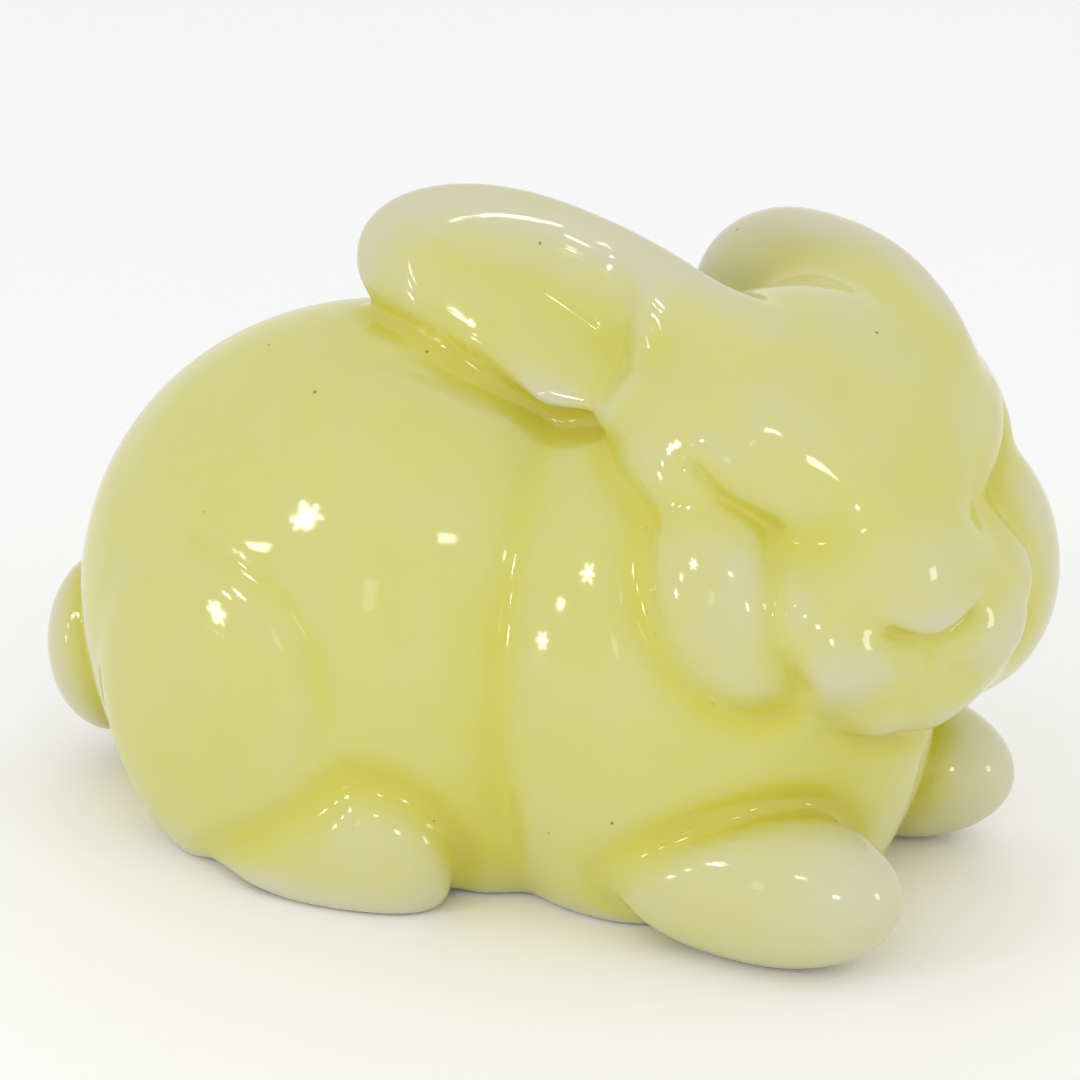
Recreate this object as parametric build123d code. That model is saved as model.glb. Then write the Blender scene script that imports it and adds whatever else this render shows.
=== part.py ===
from build123d import *
import os

# A crouching rabbit ornament in glazed earthenware, about 123 mm long.
# Nine castings are luted together with slip while leather hard, then glazed and fired as one.
# The body and the head are drained castings with an even wall; ears, feet and tail are cast solid.
# Frame: +X is where the body points, +Y is the rabbit's left, +Z is up, in millimetres.

# Casting walls and holes
wall = 3.6
floor_thickness = 4.5
pour_hole_diameter = 18
neck_hole_diameter = 12
foot_edge_fillet = 1.2

# Body: a tall rump and a lower chest, narrowed across, with a waist between them
body_axis_height = 24
body_width = 58.4
rump_centre_x = -17
rump_length = 82
rump_height = 76.6
chest_centre_x = 18
chest_length = 58.6
chest_height = 69
waist_fillet = 9

# Thighs, part of the body casting, each following its side round to the tail
thigh_x = -28
thigh_z = 20.5
thigh_length = 41.6
thigh_width = 18
thigh_height = 47.8
thigh_standout = 0.4
thigh_turn = 14
thigh_fillet = 3

# Hind feet, standing out past the body's sides
hind_foot_x = -15.5
hind_foot_z = 5.1
hind_foot_length = 34.4
hind_foot_width = 15.8
hind_foot_height = 24.8
hind_foot_widest_share = 0.67
hind_foot_toe_out = -1
hind_foot_rise = 30
hind_foot_standout = 1.6

# Forepaws, set in from the body's sides
forepaw_x = 32.8
forepaw_z = 8.8
forepaw_length = 37.8
forepaw_width = 17
forepaw_height = 18.6
forepaw_widest_share = 0.58
forepaw_toe_out = 1
forepaw_inset = 2

# Tail
tail_x = -57
tail_z = 15
tail_length = 16
tail_width = 19
tail_height = 23.4

# Head, turned to the rabbit's right and nodding; its own frame has +X through the nose
head_x = 32
head_y = 2.4
head_z = 42.2
head_turn = 36
head_nod = 8
skull_x = -2.5
skull_z = 8
skull_length = 39
skull_width = 47.6
skull_height = 36.6
cheek_x = 4.5
cheek_z = -4
cheek_length = 31
cheek_width = 23.6
cheek_height = 32
cheek_standout = 2.6
cheek_fillet = 2
snout_x = 9.5
snout_z = 3.2
snout_length = 30.8
snout_width = 25.4
snout_height = 24.4
snout_widest_share = 0.44
snout_slope = 16
muzzle_x = 14
muzzle_z = -3.5
muzzle_length = 20.8
muzzle_width = 24
muzzle_height = 18.4
jaw_x = 12.5
jaw_z = -9.8
jaw_length = 19.2
jaw_width = 27.2
jaw_height = 19
lip_x = 18
lip_y = 6
lip_z = -4.2
lip_length = 13.6
lip_width = 16.8
lip_height = 10.8
lip_turn = 14
nose_x = 22.2
nose_z = 0.8
nose_length = 6
nose_width = 10.8
nose_height = 5.2

# Ears, laid back over the body, each with its root inside the skull and a scooped outer face
ear_width = 23
ear_thickness = 8.6
ear_widest_share = 0.58
scoop_depth = 4.2
scoop_length_share = 0.74
scoop_width_share = 0.5
scoop_middle_share = 0.56
scoop_drop_share = 0.04
scoop_tilt = 22
right_ear_root = (33.3, -9, 60.4)
right_ear_length = 57
right_ear_heading = 170.5
right_ear_rise = 9.2
right_ear_lean = 73
left_ear_root = (44.9, 9.1, 63.4)
left_ear_length = 44
left_ear_heading = 150
left_ear_rise = -6.5
left_ear_lean = 96

RIGHT = -1
LEFT = 1


def egg(length, width, height):
    """An ellipsoid about the origin, from its three full sizes."""
    return scale(Sphere(length / 2), by=(1, width / length, height / length))


def blunt_egg(length, width, height, widest_share):
    """An egg about the middle of its length, along X, widest at widest_share from its rear end."""
    rear = length * widest_share
    front = length - rear
    widest = rear - length / 2
    rear_arc = EllipticalCenterArc((widest, 0), rear, width / 2, 90, arc_size=90)
    front_arc = EllipticalCenterArc((widest, 0), front, width / 2, 0, arc_size=90)
    half_outline = make_face([rear_arc, front_arc, Line((-length / 2, 0), (length / 2, 0))])
    return scale(revolve(half_outline, Axis.X), by=(1, 1, height / width))


def on_table(solid):
    """The part of the solid that stands above table height."""
    reach = 2 * rump_length
    return solid & Pos(Z=reach / 2) * Box(2 * reach, 2 * reach, reach)


def torso(inset):
    """Rump and chest, with every surface moved in by inset."""
    rump = Pos(X=rump_centre_x) * Ellipse(rump_length / 2 - inset, rump_height / 2 - inset)
    chest = Pos(X=chest_centre_x) * Ellipse(chest_length / 2 - inset, chest_height / 2 - inset)
    upper_half = Rectangle(4 * rump_length, 2 * rump_height, align=(Align.CENTER, Align.MIN))
    outline = (rump + chest) & upper_half
    waist = outline.vertices().sort_by(Axis.Y)[-1]
    outline = fillet(waist, waist_fillet + inset)
    turned = Rot(X=-90) * revolve(outline, Axis.X)
    narrowing = (body_width / 2 - inset) / (rump_height / 2 - inset)
    return Pos(Z=body_axis_height) * scale(turned, by=(1, narrowing, 1))


def body_outside():
    """The body casting's outer form: torso and thighs, flat underneath."""
    trunk = torso(0)
    thigh = egg(thigh_length, thigh_width, thigh_height)
    thigh_y = body_width / 2 + thigh_standout - thigh_width / 2
    thighs = [
        Pos(thigh_x, side * thigh_y, thigh_z) * Rot(Z=side * thigh_turn) * thigh
        for side in (RIGHT, LEFT)
    ]
    joined = trunk + thighs
    creases = new_edges(trunk, *thighs, combined=joined)
    return on_table(fillet(creases, thigh_fillet))


def skull_and_cheeks(inset):
    """Skull and cheeks in the head's own frame, with every surface moved in by inset."""
    slim = 2 * inset
    skull = egg(skull_length - slim, skull_width - slim, skull_height - slim)
    form = Pos(skull_x, 0, skull_z) * skull
    cheek = egg(cheek_length - slim, cheek_width - slim, cheek_height - slim)
    cheek_y = skull_width / 2 + cheek_standout - cheek_width / 2
    for side in (RIGHT, LEFT):
        form += Pos(cheek_x, side * cheek_y, cheek_z) * cheek
    return fillet(form.edges(), cheek_fillet)


def snout():
    """The front of the face: a blunt wedge with the jaw, muzzle, lips and nose."""
    wedge = blunt_egg(snout_length, snout_width, snout_height, snout_widest_share)
    form = Pos(snout_x, 0, snout_z) * Rot(Y=snout_slope) * wedge
    form += Pos(jaw_x, 0, jaw_z) * egg(jaw_length, jaw_width, jaw_height)
    form += Pos(muzzle_x, 0, muzzle_z) * egg(muzzle_length, muzzle_width, muzzle_height)
    lip = egg(lip_length, lip_width, lip_height)
    for side in (RIGHT, LEFT):
        form += Pos(lip_x, side * lip_y, lip_z) * Rot(Z=side * -lip_turn) * lip
    return form + Pos(nose_x, 0, nose_z) * egg(nose_length, nose_width, nose_height)


def body_shell(outside):
    """The drained body casting, with its pour hole underneath and a vent up into the head."""
    cavity = torso(wall) - Pos(Z=floor_thickness - rump_height) * Box(
        4 * rump_length, 4 * rump_length, 2 * rump_height
    )
    reach = body_axis_height
    pour_hole = Pos(X=rump_centre_x / 2) * Cylinder(pour_hole_diameter / 2, reach)
    neck_hole = Pos(head_x, head_y, head_z) * Cylinder(neck_hole_diameter / 2, head_z)
    return outside - cavity - pour_hole - neck_hole


def limb(side, x, y, z, form, toe_out):
    """A foot or paw on one side, cut flat underneath with its edge eased."""
    foot = on_table(Pos(x, side * y, z) * Rot(Z=side * toe_out) * form)
    return fillet(foot.edges().group_by(Axis.Z)[0], foot_edge_fillet)


def ear(side, root, length, heading, rise, lean):
    """An ear laid back from its root, with a channel scooped in its outer face."""
    leaf = blunt_egg(length, ear_width, ear_thickness, ear_widest_share)
    channel = egg(length * scoop_length_share, ear_width * scoop_width_share, 2 * scoop_depth)
    middle = length * (scoop_middle_share - ear_widest_share)
    place = Pos(middle, side * ear_width * scoop_drop_share, ear_thickness / 2)
    form = Pos(X=length / 2) * (leaf - place * Rot(X=side * scoop_tilt) * channel)
    return Pos(*root) * Rot(Z=heading) * Rot(Y=-rise) * Rot(X=side * lean) * form


body_form = body_outside()
head_frame = Pos(head_x, head_y, head_z) * Rot(Z=-head_turn) * Rot(Y=head_nod)
head_form = head_frame * (skull_and_cheeks(0) + snout())
head_cavity = head_frame * skull_and_cheeks(wall)
hind_foot = Rot(Y=-hind_foot_rise) * blunt_egg(
    hind_foot_length, hind_foot_width, hind_foot_height, hind_foot_widest_share
)
forepaw = blunt_egg(forepaw_length, forepaw_width, forepaw_height, forepaw_widest_share)
hind_foot_y = body_width / 2 + hind_foot_standout - hind_foot_width / 2
forepaw_y = body_width / 2 - forepaw_inset - forepaw_width / 2
tail = Pos(tail_x, 0, tail_z) * egg(tail_length, tail_width, tail_height)

castings = {
    "body_shell": body_shell(body_form),
    "head_shell": head_form - head_cavity - body_form,
    "tail": tail - body_form,
}
for name, side in (("right", RIGHT), ("left", LEFT)):
    hind = limb(side, hind_foot_x, hind_foot_y, hind_foot_z, hind_foot, hind_foot_toe_out)
    fore = limb(side, forepaw_x, forepaw_y, forepaw_z, forepaw, forepaw_toe_out)
    castings[name + "_hind_foot"] = hind - body_form
    castings[name + "_forepaw"] = fore - body_form
right_ear = ear(
    RIGHT, right_ear_root, right_ear_length, right_ear_heading, right_ear_rise, right_ear_lean
)
left_ear = ear(LEFT, left_ear_root, left_ear_length, left_ear_heading, left_ear_rise, left_ear_lean)
castings["right_ear"] = right_ear - head_form - body_form
castings["left_ear"] = left_ear - head_form - body_form

# The origin is under the middle of the whole rabbit, on the table
extent = Compound(list(castings.values())).bounding_box()
recentre = Pos(-extent.center().X, -extent.center().Y, 0)
os.makedirs("parts", exist_ok=True)
for name, casting in castings.items():
    export_step(recentre * casting, "parts/" + name + ".step")
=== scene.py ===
"""A crouching rabbit ornament: slip-cast castings luted into one, under a glossy yellow glaze."""

import math

import bpy
import numpy as np
import openvdb
from bpy.props import FloatProperty, FloatVectorProperty, PointerProperty
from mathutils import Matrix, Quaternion, Vector


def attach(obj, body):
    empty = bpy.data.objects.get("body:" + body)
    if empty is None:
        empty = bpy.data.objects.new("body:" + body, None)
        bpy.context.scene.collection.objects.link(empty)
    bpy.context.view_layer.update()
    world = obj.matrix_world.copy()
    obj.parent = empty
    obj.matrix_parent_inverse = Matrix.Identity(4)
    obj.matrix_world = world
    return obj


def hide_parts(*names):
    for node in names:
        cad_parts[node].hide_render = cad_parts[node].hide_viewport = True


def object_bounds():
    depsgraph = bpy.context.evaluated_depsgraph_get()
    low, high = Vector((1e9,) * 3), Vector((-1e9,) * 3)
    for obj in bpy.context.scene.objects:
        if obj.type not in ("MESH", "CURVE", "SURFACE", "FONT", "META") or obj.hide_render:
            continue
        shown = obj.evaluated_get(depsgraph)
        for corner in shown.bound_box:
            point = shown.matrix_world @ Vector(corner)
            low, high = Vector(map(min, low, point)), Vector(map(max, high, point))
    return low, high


bl_info = {
    "name": "Glazed Rabbit Ornament",
    "version": (1, 0, 0),
    "blender": (4, 5, 0),
    "location": "3D View > Sidebar > Rabbit",
    "description": "Dresses the rabbit's castings with glaze and sets them on a table",
    "category": "Add Mesh",
}

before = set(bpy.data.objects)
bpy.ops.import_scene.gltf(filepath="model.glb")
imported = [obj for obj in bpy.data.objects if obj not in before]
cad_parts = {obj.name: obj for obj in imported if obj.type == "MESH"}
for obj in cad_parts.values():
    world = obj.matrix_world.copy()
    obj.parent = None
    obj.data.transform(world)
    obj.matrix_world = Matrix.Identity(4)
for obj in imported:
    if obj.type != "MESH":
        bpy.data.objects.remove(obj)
CAD_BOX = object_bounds()
MM = 0.001

# The castings, in the order in which the potter lutes them together
EARS = ("right_ear", "left_ear")
FEET = ("right_forepaw", "left_forepaw", "right_hind_foot", "left_hind_foot")
CASTINGS = ("body_shell", "head_shell", *EARS, *FEET, "tail")

# Frames to work in: origin in millimetres, then yaw, pitch and roll in degrees.
# The head has +X through its nose; an ear has +X along it from the root and +Z out of its scoop.
HEAD_FRAME = ((35.454, 1.8525, 42.2), -36.0, -8.0, 0.0)
EAR_FRAMES = {
    "right_ear": ((36.754, -9.5475, 60.4), 170.5, 9.2, -73.0),
    "left_ear": ((48.354, 8.5525, 63.4), 150.0, -6.5, 96.0),
}
# Ears, in millimetres; an ear is widest at this share of its length from the root
EAR_LENGTHS = {"right_ear": 57.0, "left_ear": 44.0}
EAR_WIDTH = 23.0
EAR_THICKNESS = 8.6
EAR_WIDEST = 0.58

# How the modelling was worked, in millimetres: how far clay fills an ear's scoop from its rim,
# the share of an ear's width that its fold keeps to on either side, how round the fold's edges
# and the foot's edge are, how far from a luted joint it is dressed, and how deep
EAR_FILL = 3.0
FOLD_SPAN = 0.46
FOLD_EDGE = 2.2
FOOT_EDGE = 0.5
JOINT_REACH = 4.0
JOINT_DEPTH = 2.0

NUMBER_REACH = 1.5
LEAST_SLOPE = 0.05

# The drained hollows: the room that counts as one, how far it is then grown back to its wall,
# and how far inside the wall the clay is looked for, in millimetres
HOLLOW_ROOM = 4.0
HOLLOW_GROWTH = 2.2
WALL_CLEARANCE = 2.0

# How the wet glaze ran. A pull is the depth that it gains per 1/mm of bend in the skin, past the
# bend given, where a depth of 1 is the usual coat. Bends are seen over a near and a far reach.
NEAR_REACH = 2.5
FAR_REACH = 7.0
HOLLOW_PULL = 8.0
BASIN_PULL, BASIN_BEND = 30.0, 0.01
RIDGE_PULL, RIDGE_BEND = 7.0, 0.035
SWELL_PULL, SWELL_BEND = 6.0, 0.03
MOST_GATHERED = 0.95
SEAM_GATHERED = 0.28
SEAM_REACH = 3.0
# It ran down, so basins gather more near the table: a factor at the table, the least factor,
# and the height in millimetres over which it falls by 1
RUN_AT_TABLE, LEAST_RUN, RUN_HEIGHT = 1.6, 0.1, 34.0
# Its foot was wiped bare this high, fading over the second height
BARE_FOOT, BARE_FADE = 0.7, 0.3
DEEPEST = 3.0

# The glaze's own pattern, in millimetres: the size of its clouds, how far apart its specks are
# and how large at most, and the length and depth of its ripple. Then how much the clouds change
# its depth, and how rough the glaze and the bare clay are.
CLOUD_SIZE = 9.0
SPECK_SPACING, SPECK_RADIUS = 9.0, 0.3
RIPPLE_LENGTH, RIPPLE_DEPTH = 7.0, 0.12
CLOUD_SHARE = 0.2
GLAZE_ROUGHNESS, CLAY_ROUGHNESS = 0.07, 0.8

# The photograph's own camera: what it looks at in millimetres, and its focal length in pixels
LOOKED_AT = (3.554, -0.5475, 36.6)
FOCAL_PIXELS = 3762.5
PHOTO_PIXELS = 1080
SENSOR_WIDTH = 36.0

# The stage, in metres: how far the table reaches to each corner, how far it is set below the
# rabbit's foot, how far off the bulbs hang, and the height that they face
TABLE_REACH = 3.0
CORNERS = ((-1, -1), (1, -1), (1, 1), (-1, 1))
TABLE_GAP = 0.02 * MM
BULB_DISTANCE = 0.8
BULB_AIM = 0.03
# Soft light that isn't seen in the glaze: the room's and the ceiling's strength, where 1 is
# white, and the ceiling's spread in degrees
ROOM_LIGHT = 0.58
CEILING_LIGHT = 0.9
CEILING_SPREAD = 140


def linear(code):
    """An sRGB hex colour as linear RGB."""
    parts = [int(code[i : i + 2], 16) / 255 for i in (1, 3, 5)]
    return tuple(c / 12.92 if c <= 0.04045 else ((c + 0.055) / 1.055) ** 2.4 for c in parts)


# Settings


class RabbitModelling(bpy.types.PropertyGroup):
    """Sizes of the modelling that the castings' plain forms don't have."""

    grain: FloatProperty(
        name="Mesh grain",
        description="Size of one facet of the finished surface",
        default=0.5 * MM,
        min=0.2 * MM,
        unit="LENGTH",
    )
    ear_fillet: FloatProperty(
        name="Ear fillet",
        description="How far the ears' roots were worked into the head",
        default=6.0 * MM,
        unit="LENGTH",
    )
    groove_width: FloatProperty(
        name="Seam width",
        description="Half width of the soft groove that follows each luted joint",
        default=2.0 * MM,
        unit="LENGTH",
    )
    groove_depth: FloatProperty(
        name="Seam depth",
        description="Depth of that groove below the skin",
        default=1.0 * MM,
        unit="LENGTH",
    )
    crease_radius: FloatProperty(
        name="Crease radius",
        description="Smallest inside radius that the glaze leaves anywhere",
        default=1.1 * MM,
        unit="LENGTH",
    )
    softening: FloatProperty(
        name="Softening",
        description="How far the wet clay's edges were sponged round",
        default=0.6 * MM,
        unit="LENGTH",
    )


class RabbitGlaze(bpy.types.PropertyGroup):
    """Colours and gloss of the glaze and the clay under it."""

    glaze: FloatVectorProperty(
        name="Glaze",
        description="The glaze at its usual depth",
        subtype="COLOR",
        default=linear("#CFCC78"),
        min=0,
        max=1,
    )
    deep: FloatVectorProperty(
        name="Deep glaze",
        description="The glaze where it ran together in a hollow",
        subtype="COLOR",
        default=linear("#CFC84E"),
        min=0,
        max=1,
    )
    pooled: FloatVectorProperty(
        name="Pooled glaze",
        description="The glaze where it gathered deepest",
        subtype="COLOR",
        default=linear("#BFA636"),
        min=0,
        max=1,
    )
    thin: FloatVectorProperty(
        name="Thin glaze",
        description="The glaze where it ran off a ridge and the clay shows",
        subtype="COLOR",
        default=linear("#CFCCAA"),
        min=0,
        max=1,
    )
    clay: FloatVectorProperty(
        name="Bare clay",
        description="The unglazed underside",
        subtype="COLOR",
        default=linear("#E4DECB"),
        min=0,
        max=1,
    )
    speck: FloatVectorProperty(
        name="Speck",
        description="Iron specks burnt through the glaze",
        subtype="COLOR",
        default=linear("#6E5A2E"),
        min=0,
        max=1,
    )


class RabbitStage(bpy.types.PropertyGroup):
    """The table, the lamps and the camera."""

    table: FloatVectorProperty(
        name="Table",
        description="The pale table top",
        subtype="COLOR",
        default=linear("#FFFFFF"),
        min=0,
        max=1,
    )
    azimuth: FloatProperty(
        name="Camera azimuth",
        description="Where the camera stands round the rabbit",
        default=math.radians(25.0),
        unit="ROTATION",
    )
    elevation: FloatProperty(
        name="Camera elevation",
        description="How far the camera looks down",
        default=math.radians(20.2),
        unit="ROTATION",
    )
    distance: FloatProperty(
        name="Camera distance",
        description="From the camera to the point that it looks at",
        default=430 * MM,
        unit="LENGTH",
    )


# The form as a distance field


def blurred(field, reach):
    """The field averaged over a Gaussian reach, given in voxels."""
    half = max(1, math.ceil(2.6 * reach))
    steps = np.arange(-half, half + 1)
    weights = np.exp(-0.5 * (steps / reach) ** 2)
    weights = (weights / weights.sum()).astype(np.float32)
    for axis in range(3):
        size = field.shape[axis]
        widths = [(0, 0)] * 3
        widths[axis] = (half, half)
        padded = np.pad(field, widths, mode="edge")
        field = np.zeros_like(field)
        for step, weight in zip(steps, weights):
            cut = [slice(None)] * 3
            cut[axis] = slice(half + step, half + step + size)
            field += weight * padded[tuple(cut)]
    return field


def joined(a, b, fillet):
    """Both forms together, with the crease between them filled."""
    gap = np.maximum(fillet - np.abs(a - b), 0) / fillet
    return np.minimum(a, b) - gap * gap * fillet / 4


def carved(a, b, edge):
    """The first form without the second, with the cut's edge rounded."""
    return -joined(-a, b, edge)


def sampled(field, places):
    """The field's values at places given in voxels."""
    top = np.array(field.shape) - 2
    base = np.clip(np.floor(places).astype(int), 0, top)
    part = np.clip(places - base, 0, 1).astype(np.float32)
    value = np.zeros(len(places), np.float32)
    for corner in range(8):
        bits = np.array([corner & 1, corner >> 1 & 1, corner >> 2 & 1])
        weight = np.prod(np.where(bits, part, 1 - part), axis=1)
        i, j, k = (base + bits).T
        value += weight * field[i, j, k]
    return value


class Block:
    """A block of voxels round the castings, in millimetres, and the distance fields in it."""

    band = 5.0

    def __init__(self, grain, low, high):
        self.grain = grain
        self.first = np.floor((np.array(low) - self.band) / grain).astype(int)
        last = np.ceil((np.array(high) + self.band) / grain).astype(int)
        self.shape = tuple(last - self.first + 1)
        self.transform = openvdb.createLinearTransform(grain)

    def field_of(self, points, triangles=(), quads=()):
        """Signed distance to a closed mesh, negative inside."""
        level = openvdb.FloatGrid.createLevelSetFromPolygons(
            np.ascontiguousarray(points, np.float32),
            triangles=np.ascontiguousarray(triangles, np.uint32).reshape(-1, 3),
            quads=np.ascontiguousarray(quads, np.uint32).reshape(-1, 4),
            transform=self.transform,
            halfWidth=self.band / self.grain,
        )
        field = np.full(self.shape, self.band, np.float32)
        level.copyToArray(field, ijk=tuple(int(i) for i in self.first))
        return field

    def moved_out(self, field, distance):
        """Signed distance to the surface that lies at a distance outside this field's own."""
        level = openvdb.FloatGrid(self.band)
        level.transform = self.transform
        level.copyFromArray(field, ijk=tuple(int(i) for i in self.first))
        points, quads = level.convertToQuads(distance)
        return self.field_of(points, quads=quads)

    def cut(self, low, high):
        """Slices of the block that hold a box given in millimetres."""
        a = np.clip(np.floor(np.array(low) / self.grain).astype(int) - self.first, 0, None)
        b = np.ceil(np.array(high) / self.grain).astype(int) - self.first + 1
        return tuple(slice(i, j) for i, j in zip(a, b))

    def places(self, cut):
        """The voxels' places in a cut of the block, in millimetres."""
        axes = [
            ((np.arange(size)[part] + start) * self.grain).astype(np.float32)
            for size, start, part in zip(self.shape, self.first, cut)
        ]
        return np.stack(np.meshgrid(*axes, indexing="ij"), axis=-1)


def casting_mesh(node):
    """A CAD casting's points in millimetres and its triangles."""
    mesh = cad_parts[node].data
    mesh.calc_loop_triangles()
    points = np.empty(len(mesh.vertices) * 3, np.float32)
    mesh.vertices.foreach_get("co", points)
    triangles = np.empty(len(mesh.loop_triangles) * 3, np.int32)
    mesh.loop_triangles.foreach_get("vertices", triangles)
    return points.reshape(-1, 3) / MM, triangles.reshape(-1, 3)


def turned(yaw, pitch, roll):
    """Axes of a frame rolled about its X, pitched nose up and turned left, in degrees."""
    y, p, r = math.radians(yaw), math.radians(pitch), math.radians(roll)
    about_z = np.array([[math.cos(y), -math.sin(y), 0], [math.sin(y), math.cos(y), 0], [0, 0, 1]])
    about_y = np.array([[math.cos(p), 0, -math.sin(p)], [0, 1, 0], [math.sin(p), 0, math.cos(p)]])
    about_x = np.array([[1, 0, 0], [0, math.cos(r), -math.sin(r)], [0, math.sin(r), math.cos(r)]])
    return about_z @ about_y @ about_x


def stroke(places, points, radius):
    """Signed distance to a round tool drawn along a line of points."""
    nearest = None
    for start, end in zip(points, points[1:]):
        a, b = start.astype(np.float32), end.astype(np.float32)
        share = np.clip(((places - a) @ (b - a)) / ((b - a) @ (b - a)), 0, 1)
        away = np.linalg.norm(places - a - share[..., None] * (b - a), axis=-1)
        nearest = away if nearest is None else np.minimum(nearest, away)
    return nearest - radius


# Clay rolls added and tool strokes pressed in: points in the frame, radius, rounding of the edge.
# Face: +Y is outward on either side of it
FACE_ROLLS = (
    # Side of the muzzle
    (((12.5, 8.5, 6.0), (17.0, 10.0, 0.0)), 4.5, 7.0),
    # Under the lip
    (((14.0, 12.0, -8.5), (18.5, 9.5, -9.5), (20.0, 4.0, -10.5)), 3.0, 5.0),
    # Nose
    (((23.6, 0.0, 1.0), (22.9, 4.6, 2.0)), 1.6, 1.2),
)
LID_ROLLS = (
    # Brow
    (((3.9, 10.2, 13.9), (6.2, 7.9, 13.0), (8.8, 4.2, 10.8)), 8.1, 3.0),
    # Eyelid
    (((5.0, 17.2, 15.2), (8.1, 15.1, 14.2), (10.4, 13.3, 12.6), (12.4, 11.2, 10.8)), 1.6, 3.0),
)
FACE_CUTS = (
    # Eye socket
    (((10.6, 20.5, 19.4), (15.1, 17.8, 16.6), (19.8, 13.4, 12.6)), 6.0, 4.0),
)
LID_CUTS = (
    # Closed eye
    (((5.5, 19.3, 13.6), (9.3, 17.3, 10.7), (13.0, 13.9, 8.9)), 0.5, 1.6),
    # Between cheek and muzzle
    (((14.6, 14.6, 7.6), (17.6, 16.3, 3.6), (19.6, 16.7, -1.8), (20.8, 14.0, -5.9)), -0.8, 5.0),
    # Nose and mouth
    (((23.7, 5.4, 0.2), (24.6, 0.0, -2.0)), 0.8, 0.8),
    (((24.6, 0.0, -2.2), (24.4, 0.0, -6.5)), 0.3, 1.0),
    (((24.8, 0.0, -3.6), (24.3, 3.2, -5.8), (22.9, 7.0, -7.0)), 0.1, 1.2),
)
# Ear: +Y is down, and X is for the right ear's length
EAR_ROLLS = (
    (((46.0, 5.6, -0.6), (36.0, 7.6, 1.1), (27.0, 8.0, 2.5), (18.0, 6.8, 3.0)), 2.4, 2.0),
    (((44.0, 3.2, -1.2), (36.0, 4.6, -0.6), (27.0, 4.8, -0.4), (16.0, 4.2, -0.2)), 4.0, 2.0),
)
EAR_CUTS = (
    # Under the ear's lower edge
    (
        ((38.0, 8.8, 3.9), (32.6, 9.9, 2.8), (27.5, 10.2, 2.2), (20.0, 9.2, 2.6)),
        0.1,
        3.0,
    ),
)
# The fold in the ear's outer face: where its valley runs, and how steep the face is below it
FOLD_LINE = (
    (14.0, 2.6, 13.0, 0.55),
    (18.0, 1.8, 3.0, 0.55),
    (20.5, 1.0, 0.8, 0.55),
    (24.0, 0.1, 0.3, 0.55),
    (31.7, -2.0, 0.7, 0.37),
    (38.0, -2.1, 1.5, 0.25),
    (43.0, -1.6, 2.6, 0.2),
    (50.0, -1.6, 5.4, 0.2),
)
FOLD_UPPER_SLOPE = 0.26
# Body: +Y is outward on either side of it
BODY_CUTS = (
    (
        (
            (-27.9, 25.6, 40.0),
            (-21.8, 27.6, 39.2),
            (-14.2, 29.0, 35.9),
            (-11.0, 29.7, 31.8),
            (-9.2, 30.4, 24.0),
            (-9.7, 31.0, 19.4),
        ),
        -0.4,
        4.0,
    ),
)


def worked(block, field, place, mirror, rolls, cuts):
    """The form after rolls are added and strokes pressed in, given in a frame of their own."""
    origin, yaw, pitch, roll = place
    axes = turned(yaw, pitch, roll) * np.array(mirror)
    field = field.copy()
    for blend, strokes in ((joined, rolls), (carved, cuts)):
        for points, radius, rounding in strokes:
            line = np.array(points) @ axes.T + np.array(origin)
            reach = radius + rounding + 2
            cut = block.cut(line.min(axis=0) - reach, line.max(axis=0) + reach)
            field[cut] = blend(field[cut], stroke(block.places(cut), line, radius), rounding)
    return field


def folded_ear(block, field, ear, casting, kept):
    """The form with one ear's scoop filled and its outer face folded along a valley instead.

    Clay is added round the ear's own casting alone, and the castings of the kept field stay
    whole. The fold is drawn on the right ear; the left one is shorter and its mirror image."""
    place = EAR_FRAMES[ear]
    origin, yaw, pitch, roll = place
    axes = turned(yaw, pitch, roll)
    full_length = EAR_LENGTHS["right_ear"]
    share = EAR_LENGTHS[ear] / full_length
    side = 1 if ear == "right_ear" else -1
    ends = np.array(((0, 0, 0), (EAR_LENGTHS[ear], 0, 0))) @ axes.T + np.array(origin)
    cut = block.cut(ends.min(axis=0) - EAR_WIDTH, ends.max(axis=0) + EAR_WIDTH)
    own = (block.places(cut) - np.array(origin, np.float32)) @ axes.astype(np.float32)
    x, y, z = own[..., 0] / share, own[..., 1] * side, own[..., 2]
    widest = full_length * EAR_WIDEST
    half_sizes = (
        np.where(x < widest, widest, full_length - widest),
        EAR_WIDTH / 2,
        EAR_THICKNESS / 2,
    )
    spans = [part / half for part, half in zip((x - widest, y, z), half_sizes)]
    slopes = [span / half for span, half in zip(spans, half_sizes)]
    radius = np.sqrt(sum(part * part for part in spans))
    leaf = radius * (radius - 1) / np.sqrt(sum(part * part for part in slopes) + 1e-9)
    field = field.copy()
    field[cut] = np.minimum(field[cut], np.maximum(leaf, casting[cut] - EAR_FILL))
    field = worked(block, field, place, (share, side, 1), EAR_ROLLS, EAR_CUTS)
    line = np.array(FOLD_LINE).T
    middle, floor, steepness = (np.interp(x, line[0], part) for part in line[1:])
    across, above = y - middle, z - floor
    slope = np.where(across < 0, -FOLD_UPPER_SLOPE, steepness)
    gouge = (slope * across - above) / np.hypot(1, slope)
    gouge = np.maximum(np.maximum(gouge, np.abs(y) - FOLD_SPAN * EAR_WIDTH), -kept[cut])
    field[cut] = carved(field[cut], gouge.astype(np.float32), FOLD_EDGE)
    return field


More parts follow.
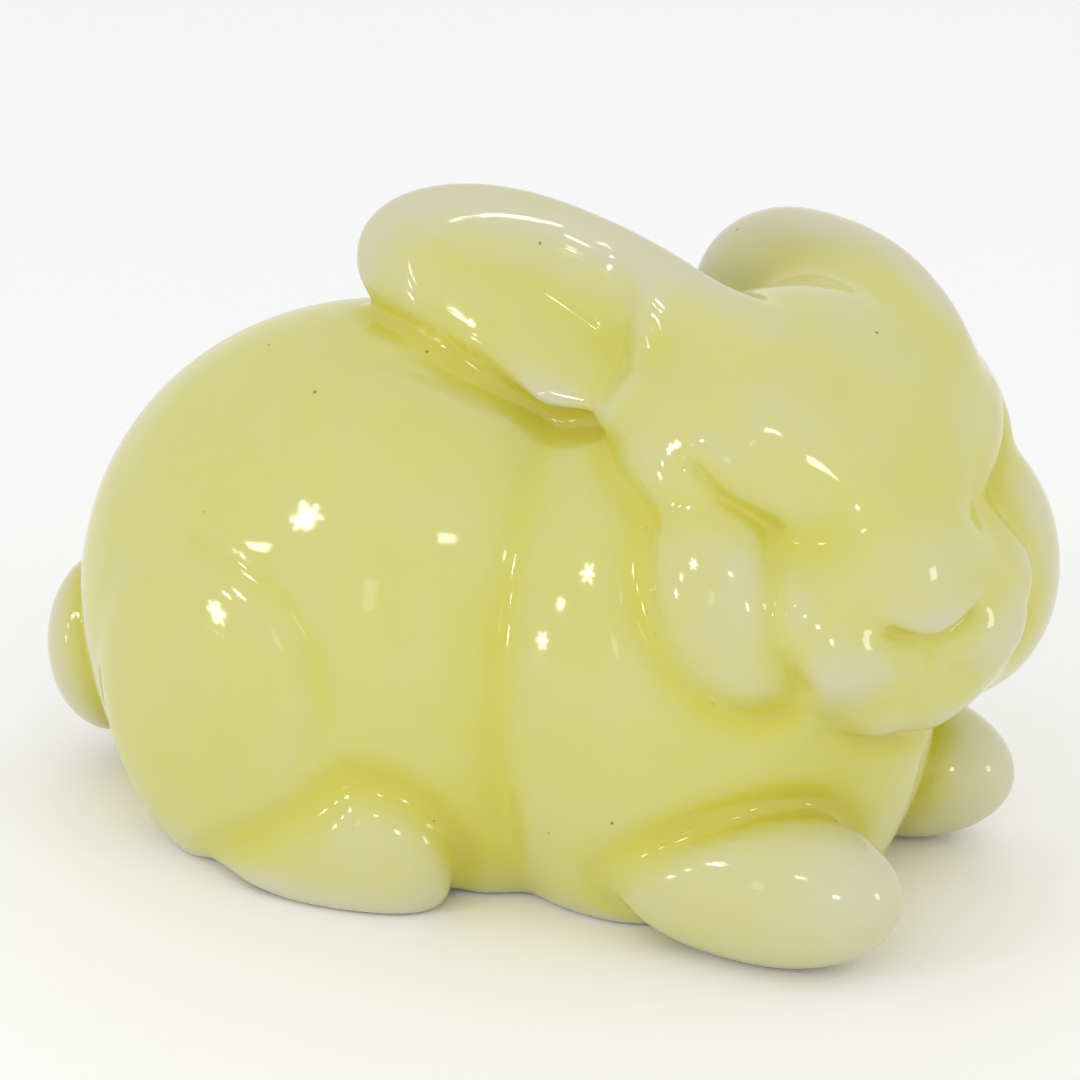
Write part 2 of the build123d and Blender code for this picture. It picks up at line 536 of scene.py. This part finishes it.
def finished_form(sizes):
    """The luted, sponged and glazed rabbit: its block, its field, its seams and its castings."""
    low, high = CAD_BOX
    grain = sizes.grain / MM * 1
    block = Block(grain, np.array(low) / MM, np.array(high) / MM)
    own = {node: block.field_of(*casting_mesh(node)) for node in CASTINGS}
    head, body = own["head_shell"], own["body_shell"]
    seams = np.hypot(np.minimum(head, np.minimum(own["right_ear"], own["left_ear"])), body)
    for ear in EARS:
        head = joined(head, own[ear], sizes.ear_fillet / MM)
    for node in (*FEET, "tail"):
        seams = np.minimum(seams, np.hypot(own["body_shell"], own[node]))
        body = np.minimum(body, own[node])
    radius = sizes.crease_radius / MM
    field = block.moved_out(np.minimum(head, body), radius)
    field = block.moved_out(field, -radius)
    for side in (-1, 1):
        field = worked(block, field, HEAD_FRAME, (1, side, 1), FACE_ROLLS, FACE_CUTS)
        field = worked(block, field, HEAD_FRAME, (1, side, 1), LID_ROLLS, LID_CUTS)
        field = worked(block, field, ((0, 0, 0), 0, 0, 0), (1, side, 1), (), BODY_CUTS)
    kept = np.minimum(own["head_shell"], own["body_shell"])
    for ear in EARS:
        field = folded_ear(block, field, ear, own[ear], kept)
    groove_width = sizes.groove_width / MM
    field += sizes.groove_depth / MM * np.exp(-((seams / groove_width) ** 2))
    field = blurred(field, sizes.softening / MM / grain)
    heights = ((np.arange(block.shape[2]) + block.first[2]) * grain).astype(np.float32)
    field = -joined(-field, np.broadcast_to(heights, block.shape), FOOT_EDGE)
    return block, field, seams, list(own.values())


# The form as meshes


def owners(field, seams, fields):
    """Each voxel's casting, as a number; near the skin, the one at the skin straight above."""
    owner = np.zeros(field.shape, np.int16)
    nearest = fields[0]
    for number, own in enumerate(fields[1:], 1):
        owner = np.where(own < nearest, np.int16(number), owner)
        nearest = np.minimum(nearest, own)
    near = np.argwhere((seams < JOINT_REACH) & (np.abs(field) < JOINT_DEPTH))
    slopes = slopes_at(field, near)
    length = np.maximum((slopes * slopes).sum(axis=1), LEAST_SLOPE)
    skin = near - (sampled(field, near) / length)[:, None] * slopes
    owner[tuple(near.T)] = np.argmin([sampled(own, skin) for own in fields], axis=0)
    # Where the numbers are mixed, the one that most voxels round about have
    smooth, best = np.zeros_like(owner), np.zeros(field.shape, np.float32)
    for number in range(len(fields)):
        share = blurred((owner == number).astype(np.float32), NUMBER_REACH)
        smooth = np.where(share > best, np.int16(number), smooth)
        best = np.maximum(share, best)
    return smooth


def shared_surface(block, field, seams, fields):
    """Where outside and castings meet: shared points, and quads with the casting on each side.

    Every cell of eight voxels that is not all one thing gets one point, so that two castings
    that touch have the same points along their joint and no gap shows between them."""
    labels = np.where(field < 0, owners(field, seams, fields) + 1, 0)
    cells = np.array(block.shape) - 1
    strides = np.array((cells[1] * cells[2], cells[2], 1))
    total = int(np.prod(cells))
    sums = {kind: np.zeros((total, 3), np.float32) for kind in ("skin", "joint")}
    counts = {kind: np.zeros(total, np.float32) for kind in ("skin", "joint")}
    quads, sides = [], []
    for axis in range(3):
        second, third = (axis + 1) % 3, (axis + 2) % 3
        low_cut, high_cut = [slice(1, -1)] * 3, [slice(1, -1)] * 3
        low_cut[axis], high_cut[axis] = slice(0, -1), slice(1, None)
        low, high = labels[tuple(low_cut)], labels[tuple(high_cut)]
        at = np.argwhere(low != high)
        a, b = low[tuple(at.T)], high[tuple(at.T)]
        at += 1
        at[:, axis] -= 1
        skin = (a == 0) | (b == 0)
        i, j, k = at.T
        step = np.eye(3, dtype=int)[axis]
        i2, j2, k2 = (at + step).T
        va, vb = field[i, j, k].copy(), field[i2, j2, k2].copy()
        inner = np.flatnonzero(~skin)
        stack_a = np.zeros(len(inner), np.float32)
        stack_b = np.zeros(len(inner), np.float32)
        for number in range(len(fields)):
            for label, sign in ((a, 1), (b, -1)):
                pick = label[inner] == number + 1
                rows = inner[pick]
                stack_a[pick] += sign * fields[number][i[rows], j[rows], k[rows]]
                stack_b[pick] += sign * fields[number][i2[rows], j2[rows], k2[rows]]
        va[inner], vb[inner] = stack_a, stack_b
        share = va / np.where(np.abs(va - vb) < 1e-6, 1, va - vb)
        share = np.where((share > 0.02) & (share < 0.98), share, 0.5)
        crossing = at.astype(np.float32)
        crossing[:, axis] += share
        corners = []
        for back_second, back_third in ((1, 1), (0, 1), (0, 0), (1, 0)):
            cell = at.copy()
            cell[:, second] -= back_second
            cell[:, third] -= back_third
            flat = cell @ strides
            corners.append(flat)
            for kind, chosen in (("skin", skin), ("joint", ~skin)):
                np.add.at(counts[kind], flat[chosen], 1)
                for part in range(3):
                    np.add.at(sums[kind][:, part], flat[chosen], crossing[chosen, part])
        quads.append(np.stack(corners, axis=1))
        sides.append(np.stack((a, b), axis=1))
    quads, sides = np.concatenate(quads), np.concatenate(sides)
    used, quads = np.unique(quads, return_inverse=True)
    quads = quads.reshape(-1, 4)
    on_skin = counts["skin"][used] > 0
    points = np.where(
        on_skin[:, None],
        sums["skin"][used] / np.maximum(counts["skin"][used], 1)[:, None],
        sums["joint"][used] / np.maximum(counts["joint"][used], 1)[:, None],
    )
    return points, quads, sides, on_skin


def slopes_at(field, points):
    """The field's gradient at points given in voxels."""
    slopes = np.empty((len(points), 3), np.float32)
    for axis in range(3):
        step = np.zeros(3, np.float32)
        step[axis] = 0.75
        slopes[:, axis] = (sampled(field, points + step) - sampled(field, points - step)) / 1.5
    return slopes


def settle(points, rows, fields):
    """Move the points in these rows to where the field, or two fields' difference, is zero."""
    here = points[rows]
    value, slopes = 0, 0
    for field, sign in zip(fields, (1, -1)):
        value = value + sign * sampled(field, here)
        slopes = slopes + sign * slopes_at(field, here)
    length = np.maximum((slopes * slopes).sum(axis=1), LEAST_SLOPE)
    points[rows] = here - np.clip(value / length, -1, 1)[:, None] * slopes


def hollow_of(block, field):
    """Which voxels lie in a drained hollow: clay on all sides and above, and room for a ball."""
    clay = field < 0
    held = np.logical_or.accumulate(clay[:, :, ::-1], axis=2)[:, :, ::-1]
    for axis in (0, 1):
        held &= np.logical_or.accumulate(clay, axis=axis)
        held &= np.flip(np.logical_or.accumulate(np.flip(clay, axis), axis=axis), axis)
    roomy = (held & (field > HOLLOW_ROOM)).astype(np.float32)
    return held & ~clay & (blurred(roomy, HOLLOW_GROWTH / block.grain) > 0.001)


def curvature(block, filled, points, reach):
    """How sharply the skin bends out, per millimetre, seen over a reach; negative in a hollow."""
    step = max(1, int(reach / (2 * block.grain)))
    share = blurred(filled[::step, ::step, ::step], reach / (block.grain * step))
    return (0.5 - sampled(share, points / step)) / (0.4 * reach)


def pooling(near_bend, far_bend, seam, height):
    """How deep the glaze lies, 1 where it is even: it leaves ridges and gathers low in hollows."""
    run = np.clip(RUN_AT_TABLE - height / RUN_HEIGHT, LEAST_RUN, RUN_AT_TABLE)
    gathered = HOLLOW_PULL * np.clip(-near_bend, 0, None)
    gathered += BASIN_PULL * run * np.clip(BASIN_BEND - far_bend, 0, None)
    gathered = MOST_GATHERED * (1 - np.exp(-gathered / MOST_GATHERED))
    thinned = RIDGE_PULL * np.clip(near_bend - RIDGE_BEND, 0, None)
    thinned += SWELL_PULL * np.clip(far_bend - SWELL_BEND, 0, None)
    return np.clip(1 + gathered + SEAM_GATHERED * seam - thinned, 0, DEEPEST)


_surface = {}


def surface():
    """The whole rabbit's points, quads, normals and glaze depths, worked out once."""
    if _surface:
        return _surface
    sizes = bpy.context.scene.rabbit_modelling
    block, field, seams, fields = finished_form(sizes)
    points, quads, sides, on_skin = shared_surface(block, field, seams, fields)
    rows = np.flatnonzero(on_skin)
    joint = (sides > 0).all(axis=1)
    pairs = np.zeros((len(points), 2), int)
    pairs[quads[joint]] = np.sort(sides[joint], axis=1)[:, None]
    pairs[~on_skin] = 0
    for _ in range(3):
        for first, second in np.unique(pairs[pairs[:, 0] > 0], axis=0):
            edge = np.flatnonzero((pairs == (first, second)).all(axis=1))
            settle(points, edge, (fields[first - 1], fields[second - 1]))
        settle(points, rows, (field,))
    inner = np.flatnonzero(~on_skin)
    slopes = slopes_at(field, points[inner])
    length = np.maximum((slopes * slopes).sum(axis=1), LEAST_SLOPE)
    rise = np.maximum(sampled(field, points[inner]) + 0.6 * block.grain, 0) / length
    points[inner] -= np.clip(rise, 0, 1.5)[:, None] * slopes
    slopes = slopes_at(field, points)
    normals = slopes / np.maximum(np.linalg.norm(slopes, axis=1), 1e-6)[:, None]
    hollow = hollow_of(block, field).astype(np.float32)
    bare = sampled(hollow, points + normals * WALL_CLEARANCE / block.grain)
    filled = np.maximum(np.clip(0.5 - field / block.grain, 0, 1), hollow)
    near_bend = curvature(block, filled, points, NEAR_REACH)
    far_bend = curvature(block, filled, points, FAR_REACH)
    seam = np.exp(-((sampled(seams, points) / SEAM_REACH) ** 2))
    points = (points + block.first) * block.grain
    depth = pooling(near_bend, far_bend, seam, points[:, 2])
    # The foot was ground flat on the table
    points[:, 2] = np.where(points[:, 2] < 0.03, 0, points[:, 2])
    bare = np.clip(np.maximum(bare, (BARE_FOOT - points[:, 2]) / BARE_FADE), 0, 1)
    _surface.update(
        points=points * MM,
        quads=quads,
        sides=sides,
        normals=normals,
        glaze_depth=depth,
        bare_clay=bare,
    )
    return _surface


def casting_object(node, material):
    """One finished casting: its part of the skin, closed by its faces in the luted joints."""
    whole = surface()
    number = CASTINGS.index(node) + 1
    outward = whole["quads"][whole["sides"][:, 0] == number]
    inward = whole["quads"][whole["sides"][:, 1] == number][:, ::-1]
    quads = np.concatenate((outward, inward))
    used, quads = np.unique(quads, return_inverse=True)
    quads = quads.reshape(-1, 4)
    mesh = bpy.data.meshes.new(node + "_glazed")
    mesh.vertices.add(len(used))
    mesh.vertices.foreach_set("co", whole["points"][used].astype(np.float32).ravel())
    mesh.loops.add(quads.size)
    mesh.loops.foreach_set("vertex_index", quads.astype(np.int32).ravel())
    mesh.polygons.add(len(quads))
    mesh.polygons.foreach_set("loop_start", np.arange(0, quads.size, 4, dtype=np.int32))
    mesh.update(calc_edges=True)
    mesh.validate()
    for name in ("glaze_depth", "bare_clay"):
        layer = mesh.attributes.new(name, "FLOAT", "POINT")
        layer.data.foreach_set("value", whole[name][used].astype(np.float32))
    mesh.normals_split_custom_set_from_vertices(whole["normals"][used].tolist())
    mesh.materials.append(material)
    piece = bpy.data.objects.new(node + "_glazed", mesh)
    bpy.context.scene.collection.objects.link(piece)
    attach(piece, "root")
    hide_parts(node)
    return piece


# Materials


def add_node(tree, kind, links=(), **settings):
    """A shader node with its settings, linked to the sockets given as (input, output socket)."""
    node = tree.nodes.new(kind)
    inputs = settings.pop("inputs", {})
    for name, value in settings.items():
        setattr(node, name, value)
    for key, value in inputs.items():
        node.inputs[key].default_value = value
    for key, source in links:
        tree.links.new(node.inputs[key], source)
    return node


def new_material(name):
    """An empty material and its node tree."""
    material = bpy.data.materials.new(name)
    material.use_nodes = True
    material.node_tree.nodes.clear()
    return material, material.node_tree


def glaze_material():
    """Glossy lead-free earthenware glaze, poured over white clay and fired."""
    # It is clear and melts to a mirror-smooth coat, so the eye sees sharp lamps in it, a deep
    # yellow where it ran together and the pale clay where it is thin. The wiped foot and the
    # inside are bare clay, which is dry and matt.
    name = "poured_yellow_glaze"
    if name in bpy.data.materials:
        return bpy.data.materials[name]
    colours = bpy.context.scene.rabbit_glaze
    material, tree = new_material(name)
    depth = add_node(tree, "ShaderNodeAttribute", attribute_name="glaze_depth")
    place = add_node(tree, "ShaderNodeTexCoord").outputs["Object"]
    cloud = add_node(
        tree,
        "ShaderNodeTexNoise",
        [("Vector", place)],
        inputs={"Scale": 1 / (CLOUD_SIZE * MM), "Detail": 3.0, "Roughness": 0.6},
    )
    uneven = add_node(
        tree,
        "ShaderNodeMapRange",
        [("Value", cloud.outputs["Fac"])],
        inputs={
            "From Min": 0.25,
            "From Max": 0.75,
            "To Min": -CLOUD_SHARE,
            "To Max": CLOUD_SHARE,
        },
    )
    total = add_node(
        tree,
        "ShaderNodeMath",
        [(0, depth.outputs["Fac"]), (1, uneven.outputs["Result"])],
        operation="ADD",
    )
    share = add_node(
        tree,
        "ShaderNodeMapRange",
        [("Value", total.outputs["Value"])],
        inputs={"From Min": 0.0, "From Max": DEEPEST},
    )
    colour = add_node(tree, "ShaderNodeValToRGB", [("Fac", share.outputs["Result"])])
    stops = colour.color_ramp.elements
    stops[0].position, stops[0].color = 0.0, (*colours.thin, 1)
    stops[1].position, stops[1].color = 1.0, (*colours.pooled, 1)
    for position, tint in ((0.33, colours.glaze), (0.6, colours.deep)):
        stops.new(position).color = (*tint, 1)
    # Iron specks burnt through the glaze, a few on each side
    spots = add_node(
        tree,
        "ShaderNodeTexVoronoi",
        [("Vector", place)],
        inputs={"Scale": 1 / (SPECK_SPACING * MM)},
    )
    largest = SPECK_RADIUS / SPECK_SPACING
    speck = add_node(
        tree,
        "ShaderNodeMapRange",
        [("Value", spots.outputs["Distance"])],
        inputs={"From Min": largest, "From Max": largest / 2, "To Max": 0.8},
    )
    specked = add_node(
        tree,
        "ShaderNodeMix",
        [(0, speck.outputs["Result"]), (6, colour.outputs["Color"])],
        data_type="RGBA",
        inputs={7: (*colours.speck, 1)},
    )
    bare = add_node(tree, "ShaderNodeAttribute", attribute_name="bare_clay")
    tint = add_node(
        tree,
        "ShaderNodeMix",
        [(0, bare.outputs["Fac"]), (6, specked.outputs[2])],
        data_type="RGBA",
        inputs={7: (*colours.clay, 1)},
    )
    gloss = add_node(
        tree,
        "ShaderNodeMapRange",
        [("Value", bare.outputs["Fac"])],
        inputs={"To Min": GLAZE_ROUGHNESS, "To Max": CLAY_ROUGHNESS},
    )
    # The fired surface rises and dips very slightly, which bends what it mirrors
    ripple = add_node(
        tree,
        "ShaderNodeTexNoise",
        [("Vector", place)],
        inputs={"Scale": 1 / (RIPPLE_LENGTH * MM), "Detail": 1.0},
    )
    bump = add_node(
        tree,
        "ShaderNodeBump",
        [("Height", ripple.outputs["Fac"])],
        inputs={"Strength": 1.0, "Distance": RIPPLE_DEPTH * MM},
    )
    shader = add_node(
        tree,
        "ShaderNodeBsdfPrincipled",
        [
            ("Base Color", tint.outputs[2]),
            ("Roughness", gloss.outputs["Result"]),
            ("Normal", bump.outputs["Normal"]),
        ],
        inputs={"IOR": 1.5},
    )
    add_node(tree, "ShaderNodeOutputMaterial", [("Surface", shader.outputs["BSDF"])])
    return material


def table_material():
    """Matt melamine laminate, pressed smooth: a pale even table top."""
    # The eye sees no grain and no mirror in it, only the rabbit's soft shadow
    colours = bpy.context.scene.rabbit_stage
    material, tree = new_material("pale_matt_laminate")
    shader = add_node(
        tree,
        "ShaderNodeBsdfPrincipled",
        inputs={"Base Color": (*colours.table, 1), "Roughness": 0.6},
    )
    add_node(tree, "ShaderNodeOutputMaterial", [("Surface", shader.outputs["BSDF"])])
    return material


# Operators


class RABBIT_OT_body(bpy.types.Operator):
    """Make the body casting with its thighs"""

    bl_idname = "rabbit.body"
    bl_label = "Body"

    def execute(self, context):
        casting_object("body_shell", glaze_material())
        return {"FINISHED"}


class RABBIT_OT_head(bpy.types.Operator):
    """Make the head with its closed eyes, nose and mouth"""

    bl_idname = "rabbit.head"
    bl_label = "Head"

    def execute(self, context):
        casting_object("head_shell", glaze_material())
        return {"FINISHED"}


class RABBIT_OT_ears(bpy.types.Operator):
    """Make the two ears, laid back"""

    bl_idname = "rabbit.ears"
    bl_label = "Ears"

    def execute(self, context):
        for node in EARS:
            casting_object(node, glaze_material())
        return {"FINISHED"}


class RABBIT_OT_feet(bpy.types.Operator):
    """Make the forepaws and the hind feet"""

    bl_idname = "rabbit.feet"
    bl_label = "Paws and feet"

    def execute(self, context):
        for node in FEET:
            casting_object(node, glaze_material())
        return {"FINISHED"}


class RABBIT_OT_tail(bpy.types.Operator):
    """Make the tail"""

    bl_idname = "rabbit.tail"
    bl_label = "Tail"

    def execute(self, context):
        casting_object("tail", glaze_material())
        return {"FINISHED"}


def direction(azimuth, elevation):
    """Unit vector towards a place round the rabbit; azimuth 0 is in front of its right side."""
    a, e = math.radians(azimuth), math.radians(elevation)
    return Vector((math.sin(a) * math.cos(e), -math.cos(a) * math.cos(e), math.sin(e)))


def add_lamp(name, azimuth, elevation, distance, width, height, power, turn=0, glossy=True):
    """A rectangular lamp that faces the rabbit; distance and sizes in metres, power in watts."""
    data = bpy.data.lights.new(name, "AREA")
    data.shape = "RECTANGLE"
    data.size = width
    data.size_y = height
    data.energy = power
    lamp = bpy.data.objects.new(name, data)
    lamp.visible_glossy = glossy
    bpy.context.scene.collection.objects.link(lamp)
    away = direction(azimuth, elevation)
    lamp.location = away * distance + Vector((0, 0, BULB_AIM))
    facing = (-away).to_track_quat("-Z", "Y")
    lamp.rotation_euler = (facing @ Quaternion((0, 0, 1), math.radians(turn))).to_euler()
    return lamp


# Lamps seen as bright spots in the glaze: name, then azimuth and elevation in degrees, width and
# height in metres, and power in watts. A star is three strips across each other, as a cluster of
# bulbs looks.
STAR_TURNS = (15, 75, 135)
STARS = (
    ("left_star", -30, 27, 0.11, 0.02, 0.13),
    ("low_star", -44, 2, 0.09, 0.018, 0.08),
)
BULBS = (
    ("left_bulb", -39, 14, 0.05, 0.05, 0.11),
    ("right_bulb", 36, 12, 0.08, 0.08, 0.24),
    ("far_window", 82, 10, 0.11, 0.13, 0.28),
    ("dim_window", -8, 11, 0.07, 0.12, 0.05),
    ("high_bulb", 14, 32, 0.08, 0.05, 0.14),
)
# One large lamp that isn't seen in the glaze, with its distance in metres after its elevation
SOFT_BOX = ("soft_box", 60, 40, 1.1, 0.8, 0.5, 0.6)


class RABBIT_OT_stage(bpy.types.Operator):
    """Set the table, the lamps, the white surroundings and the camera"""

    bl_idname = "rabbit.stage"
    bl_label = "Table, lamps and camera"

    def execute(self, context):
        stage = context.scene.rabbit_stage
        mesh = bpy.data.meshes.new("table_top")
        corners = [(x * TABLE_REACH, y * TABLE_REACH, 0) for x, y in CORNERS]
        mesh.from_pydata(corners, [], [(0, 1, 2, 3)])
        table = bpy.data.objects.new("table_top", mesh)
        table.location.z = -TABLE_GAP
        mesh.materials.append(table_material())
        context.scene.collection.objects.link(table)

        for name, azimuth, elevation, width, height, power in STARS:
            for turn in STAR_TURNS:
                add_lamp(name, azimuth, elevation, BULB_DISTANCE, width, height, power, turn)
        for name, azimuth, elevation, width, height, power in BULBS:
            add_lamp(name, azimuth, elevation, BULB_DISTANCE, width, height, power)
        add_lamp(*SOFT_BOX, glossy=False)
        sky = bpy.data.lights.new("soft_ceiling", "SUN")
        sky.energy = CEILING_LIGHT
        sky.angle = math.radians(CEILING_SPREAD)
        ceiling = bpy.data.objects.new("soft_ceiling", sky)
        ceiling.visible_glossy = False
        context.scene.collection.objects.link(ceiling)

        world = bpy.data.worlds.new("white_room")
        context.scene.world = world
        world.use_nodes = True
        tree = world.node_tree
        tree.nodes.clear()
        path = add_node(tree, "ShaderNodeLightPath")
        seen = add_node(
            tree,
            "ShaderNodeMath",
            [(0, path.outputs["Is Camera Ray"]), (1, path.outputs["Is Transmission Ray"])],
            operation="MAXIMUM",
        )
        seen = add_node(
            tree,
            "ShaderNodeMath",
            [(0, seen.outputs["Value"]), (1, path.outputs["Is Glossy Ray"])],
            operation="MAXIMUM",
        )
        # The room lights the rabbit softly, and is plain white to the camera and in the glaze
        room, white = (
            add_node(
                tree,
                "ShaderNodeBackground",
                inputs={"Color": (1, 1, 1, 1), "Strength": strength},
            )
            for strength in (ROOM_LIGHT, 1.0)
        )
        mixed = add_node(
            tree,
            "ShaderNodeMixShader",
            [(0, seen.outputs["Value"]), (1, room.outputs[0]), (2, white.outputs[0])],
        )
        add_node(tree, "ShaderNodeOutputWorld", [("Surface", mixed.outputs[0])])

        back = direction(math.degrees(stage.azimuth), math.degrees(stage.elevation))
        data = bpy.data.cameras.new("camera")
        data.sensor_width = SENSOR_WIDTH
        data.lens = SENSOR_WIDTH * FOCAL_PIXELS / PHOTO_PIXELS
        data.clip_start = 0.01
        data.clip_end = 20
        camera = bpy.data.objects.new("camera", data)
        context.scene.collection.objects.link(camera)
        camera.location = Vector(LOOKED_AT) * MM + back * stage.distance
        camera.rotation_mode = "QUATERNION"
        camera.rotation_quaternion = (-back).to_track_quat("-Z", "Y")
        context.scene.camera = camera
        context.scene.view_settings.view_transform = "Standard"
        return {"FINISHED"}


OPERATORS = (
    RABBIT_OT_body,
    RABBIT_OT_head,
    RABBIT_OT_ears,
    RABBIT_OT_feet,
    RABBIT_OT_tail,
    RABBIT_OT_stage,
)


class RABBIT_PT_panel(bpy.types.Panel):
    """The rabbit's settings and the steps that make it"""

    bl_idname = "RABBIT_PT_panel"
    bl_label = "Glazed Rabbit"
    bl_space_type = "VIEW_3D"
    bl_region_type = "UI"
    bl_category = "Rabbit"

    def draw(self, context):
        for group in ("rabbit_modelling", "rabbit_glaze", "rabbit_stage"):
            settings = getattr(context.scene, group)
            box = self.layout.box()
            for name in settings.__annotations__:
                box.prop(settings, name)
        for operator in OPERATORS:
            self.layout.operator(operator.bl_idname)


SETTINGS = {
    "rabbit_modelling": RabbitModelling,
    "rabbit_glaze": RabbitGlaze,
    "rabbit_stage": RabbitStage,
}


def register():
    for cls in (*SETTINGS.values(), *OPERATORS, RABBIT_PT_panel):
        bpy.utils.register_class(cls)
    for name, cls in SETTINGS.items():
        setattr(bpy.types.Scene, name, PointerProperty(type=cls))


def unregister():
    for name in SETTINGS:
        delattr(bpy.types.Scene, name)
    for cls in reversed((*SETTINGS.values(), *OPERATORS, RABBIT_PT_panel)):
        bpy.utils.unregister_class(cls)


def main():
    register()
    bpy.ops.rabbit.body()
    bpy.ops.rabbit.head()
    bpy.ops.rabbit.ears()
    bpy.ops.rabbit.feet()
    bpy.ops.rabbit.tail()
    bpy.ops.rabbit.stage()


if __name__ == "__main__":
    main()
